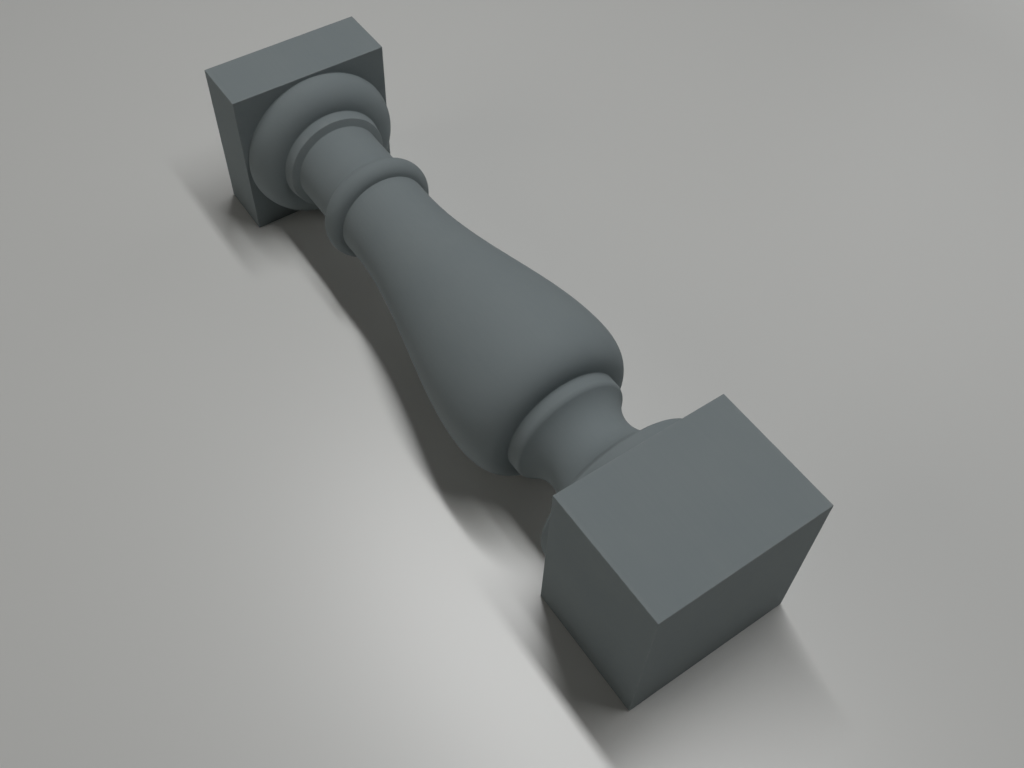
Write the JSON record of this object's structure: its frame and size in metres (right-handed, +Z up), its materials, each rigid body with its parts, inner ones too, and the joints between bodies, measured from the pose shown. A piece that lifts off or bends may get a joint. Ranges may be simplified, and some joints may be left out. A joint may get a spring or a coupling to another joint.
{
  "type": "turned wooden baluster",
  "caption": "Painted wooden baluster: square plinth, low round band and hollow, vase-shaped turning, astragal, neck and ovolo under a square cap; carries a rail between plinth and cap.",
  "frame": {"origin": "centre of the bounding box in plan, at the level of the blocks' down-side flats that it lies on", "axes": "+X along the turning axis towards the plinth's underside, -X towards the cap's top, +Z up, square to the two blocks' flats"},
  "size_m": [0.592, 0.14, 0.14],
  "materials": {
    "painted_wood": "smooth grey-blue satin paint over wood"
  },
  "bodies": {
    "root": {"baluster": "painted_wood"}
  },
  "joints": []
}
